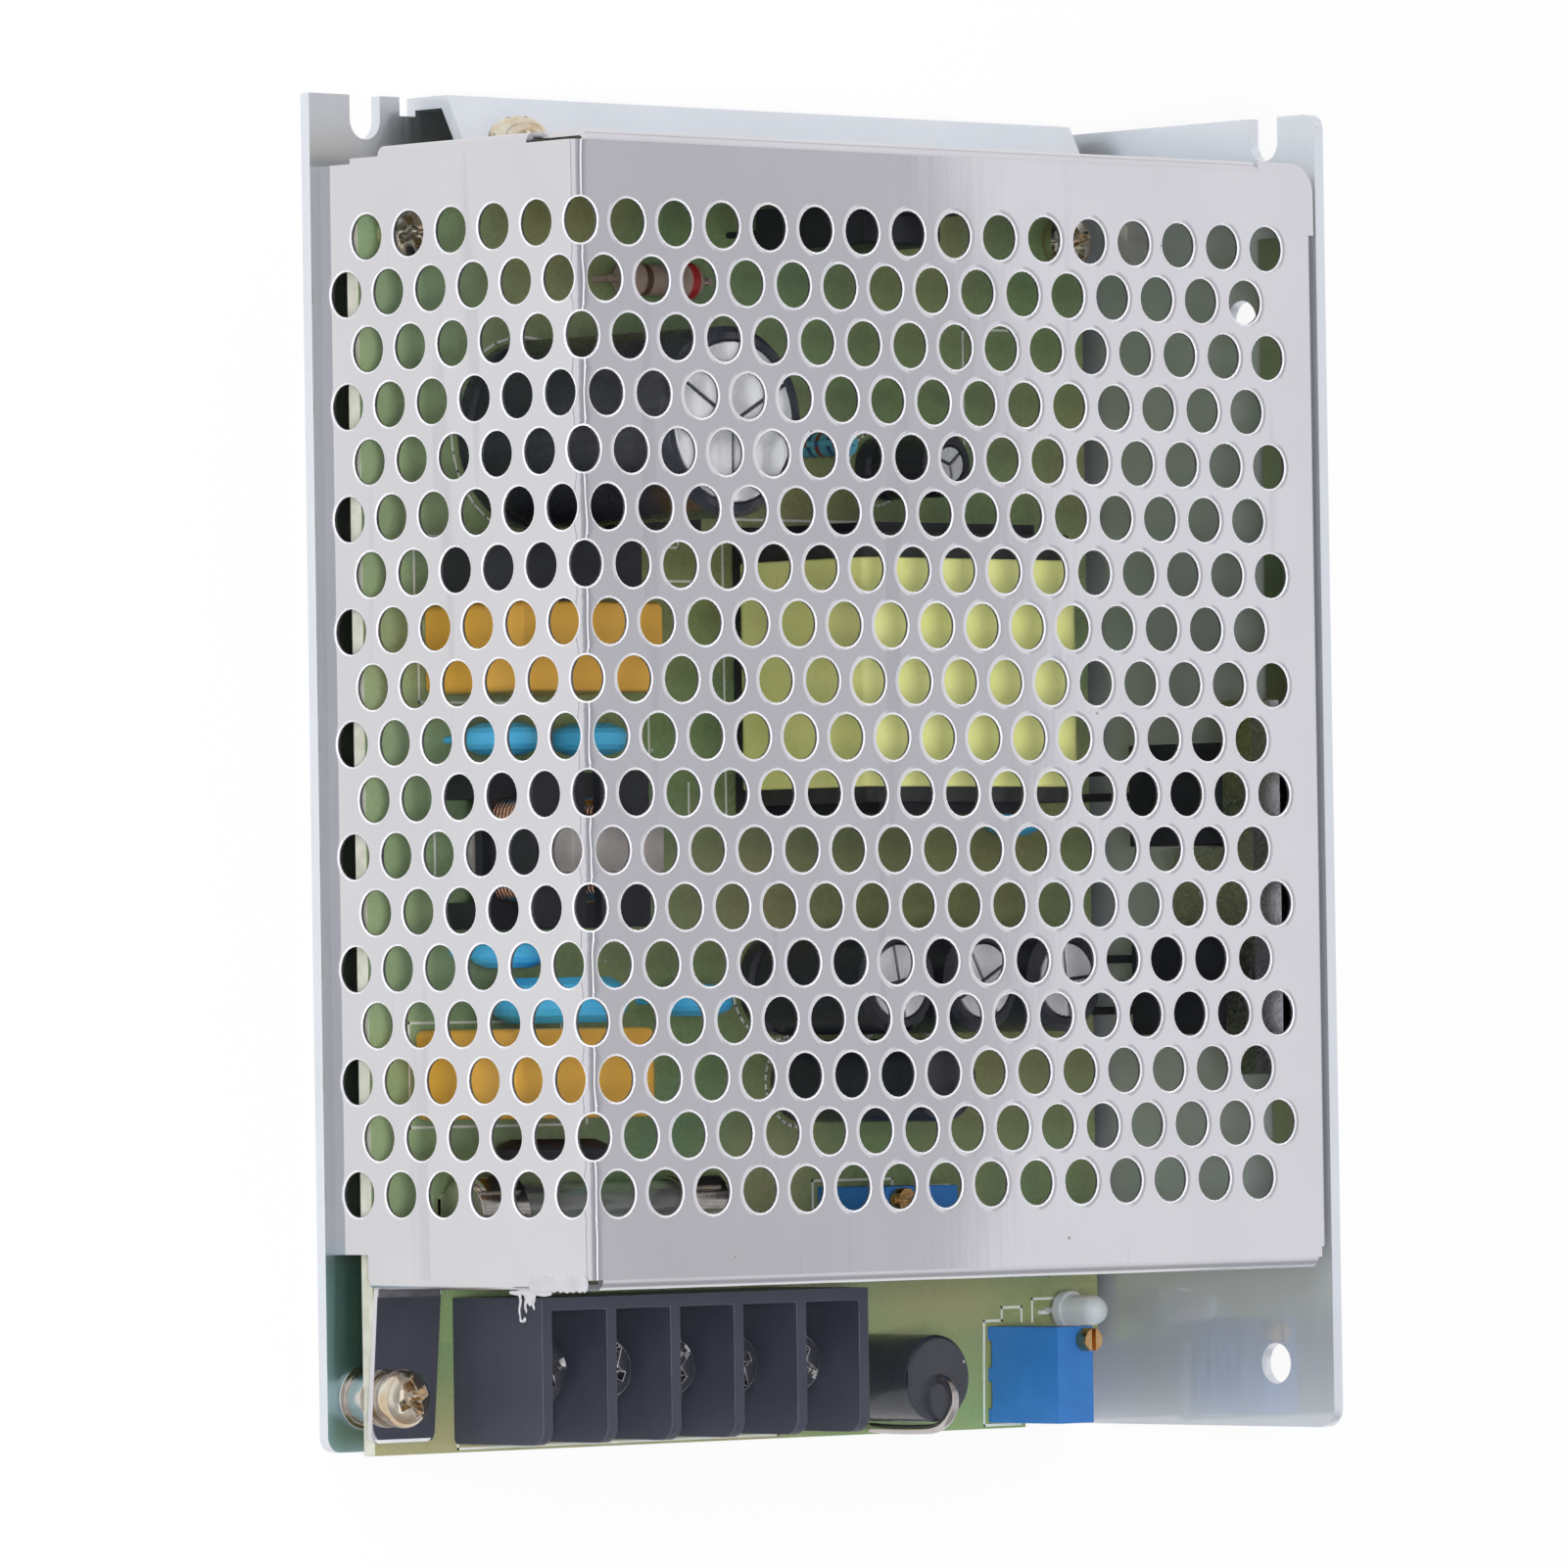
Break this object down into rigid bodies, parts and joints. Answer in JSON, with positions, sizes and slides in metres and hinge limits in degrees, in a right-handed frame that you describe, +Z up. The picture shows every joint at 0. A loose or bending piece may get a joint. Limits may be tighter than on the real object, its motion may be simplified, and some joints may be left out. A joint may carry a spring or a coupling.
{
  "type": "switching power supply",
  "caption": "Enclosed switching power supply: perforated folded cover on a heat-sink chassis, open terminal bay with screw terminals, trimmer and indicator light.",
  "frame": {"origin": "bottom centre of the case's base", "axes": "+X across towards the heat-sink wall, +Y along the length towards the rear, +Z up; the terminals face -Y"},
  "size_m": [0.1002, 0.129, 0.0372],
  "materials": {
    "chassis_sheet": "brushed sheet",
    "cover_sheet": "satin perforated sheet",
    "board": "green-brown laminate",
    "plated_steel": "plated",
    "terminal_plastic": "black moulding",
    "trimmer_plastic": "blue moulding",
    "trimmer_brass": "turned",
    "led_resin": "milky clear resin",
    "black_sleeve": "shrink sleeve",
    "capacitor_sleeve": "printed sleeve",
    "ferrite": "ground ferrite",
    "tape": "yellow tape",
    "black_moulding": "black moulding",
    "copper_wire": "enamelled wire",
    "film_box": "yellow box",
    "blue_coating": "dipped coating",
    "fuse_tube": "clear tube",
    "clamp_metal": "extruded bar",
    "pad": "soft pad",
    "resistor_coating": "ceramic coating"
  },
  "bodies": {
    "case": {"chassis": "chassis_sheet", "cover": "cover_sheet", "circuit_board": "board", "board_standoffs": "plated_steel", "board_screws": "plated_steel", "cover_screw": "plated_steel", "terminal_block": "terminal_plastic", "terminal_plates": "plated_steel", "trimmer_body": "trimmer_plastic", "inner_trimmer_body": "trimmer_plastic", "power_led": "led_resin", "rod_choke": "black_sleeve", "choke_lead": "plated_steel", "bulk_capacitor": "capacitor_sleeve", "output_capacitor_1": "capacitor_sleeve", "output_capacitor_2": "capacitor_sleeve", "output_capacitor_3": "capacitor_sleeve", "aux_capacitor": "capacitor_sleeve", "filter_choke": "black_sleeve", "transformer_core": "ferrite", "transformer_tape": "tape", "transformer_bobbin": "black_moulding", "line_choke_core": "ferrite", "line_choke_bobbins": "black_moulding", "line_choke_windings": "copper_wire", "film_capacitor_1": "film_box", "film_capacitor_2": "film_box", "varistor": "blue_coating", "safety_capacitors": "blue_coating", "snubber_capacitor": "blue_coating", "thermistor": "black_moulding", "fuse_glass": "fuse_tube", "fuse_caps": "plated_steel", "fuse_clips": "plated_steel", "bridge_rectifier": "black_moulding", "regulator": "black_moulding", "power_transistor": "black_moulding", "output_rectifier": "black_moulding", "device_clamp": "clamp_metal", "insulator_pads": "pad", "clamp_screw": "plated_steel", "resistor_1": "resistor_coating", "resistor_2": "blue_coating", "controller_chip": "black_moulding", "optocoupler": "black_moulding"},
    "terminal_washer_1": {"terminal_washer_1": "plated_steel"},
    "terminal_washer_2": {"terminal_washer_2": "plated_steel"},
    "terminal_washer_3": {"terminal_washer_3": "plated_steel"},
    "terminal_washer_4": {"terminal_washer_4": "plated_steel"},
    "terminal_washer_5": {"terminal_washer_5": "plated_steel"},
    "terminal_screw_1": {"terminal_screw_1": "plated_steel"},
    "terminal_screw_2": {"terminal_screw_2": "plated_steel"},
    "terminal_screw_3": {"terminal_screw_3": "plated_steel"},
    "terminal_screw_4": {"terminal_screw_4": "plated_steel"},
    "terminal_screw_5": {"terminal_screw_5": "plated_steel"},
    "trimmer_screw": {"trimmer_screw": "trimmer_brass"},
    "inner_trimmer_screw": {"inner_trimmer_screw": "trimmer_brass"}
  },
  "joints": [
    {"name": "washer_lift_1", "type": "slide", "parent": "case", "child": "terminal_washer_1", "axis": [0, 0, 1], "range_m": [0, 0.003]},
    {"name": "screw_turn_1", "type": "hinge", "parent": "terminal_washer_1", "child": "terminal_screw_1", "pos_m": [-0.03327, -0.0569, 0.012], "axis": [0, 0, 1], "range_deg": [0, 1800]},
    {"name": "washer_lift_2", "type": "slide", "parent": "case", "child": "terminal_washer_2", "axis": [0, 0, 1], "range_m": [0, 0.003]},
    {"name": "screw_turn_2", "type": "hinge", "parent": "terminal_washer_2", "child": "terminal_screw_2", "pos_m": [-0.02508, -0.0569, 0.012], "axis": [0, 0, 1], "range_deg": [0, 1800]},
    {"name": "washer_lift_3", "type": "slide", "parent": "case", "child": "terminal_washer_3", "axis": [0, 0, 1], "range_m": [0, 0.003]},
    {"name": "screw_turn_3", "type": "hinge", "parent": "terminal_washer_3", "child": "terminal_screw_3", "pos_m": [-0.01688, -0.0569, 0.012], "axis": [0, 0, 1], "range_deg": [0, 1800]},
    {"name": "washer_lift_4", "type": "slide", "parent": "case", "child": "terminal_washer_4", "axis": [0, 0, 1], "range_m": [0, 0.003]},
    {"name": "screw_turn_4", "type": "hinge", "parent": "terminal_washer_4", "child": "terminal_screw_4", "pos_m": [-0.00868, -0.0569, 0.012], "axis": [0, 0, 1], "range_deg": [0, 1800]},
    {"name": "washer_lift_5", "type": "slide", "parent": "case", "child": "terminal_washer_5", "axis": [0, 0, 1], "range_m": [0, 0.003]},
    {"name": "screw_turn_5", "type": "hinge", "parent": "terminal_washer_5", "child": "terminal_screw_5", "pos_m": [-0.00047, -0.0569, 0.012], "axis": [0, 0, 1], "range_deg": [0, 1800]},
    {"name": "trimmer_turn", "type": "hinge", "parent": "case", "child": "trimmer_screw", "pos_m": [0.0358, -0.0557, 0.016], "axis": [0, 0, 1], "continuous": true},
    {"name": "inner_trimmer_turn", "type": "hinge", "parent": "case", "child": "inner_trimmer_screw", "pos_m": [0.0109, -0.0415, 0.016], "axis": [0, 0, 1], "continuous": true}
  ],
  "couplings": [
    {"joint": "screw_turn_1", "follows": "washer_lift_1", "rad_per_m": 10472},
    {"joint": "screw_turn_2", "follows": "washer_lift_2", "rad_per_m": 10472},
    {"joint": "screw_turn_3", "follows": "washer_lift_3", "rad_per_m": 10472},
    {"joint": "screw_turn_4", "follows": "washer_lift_4", "rad_per_m": 10472},
    {"joint": "screw_turn_5", "follows": "washer_lift_5", "rad_per_m": 10472}
  ]
}
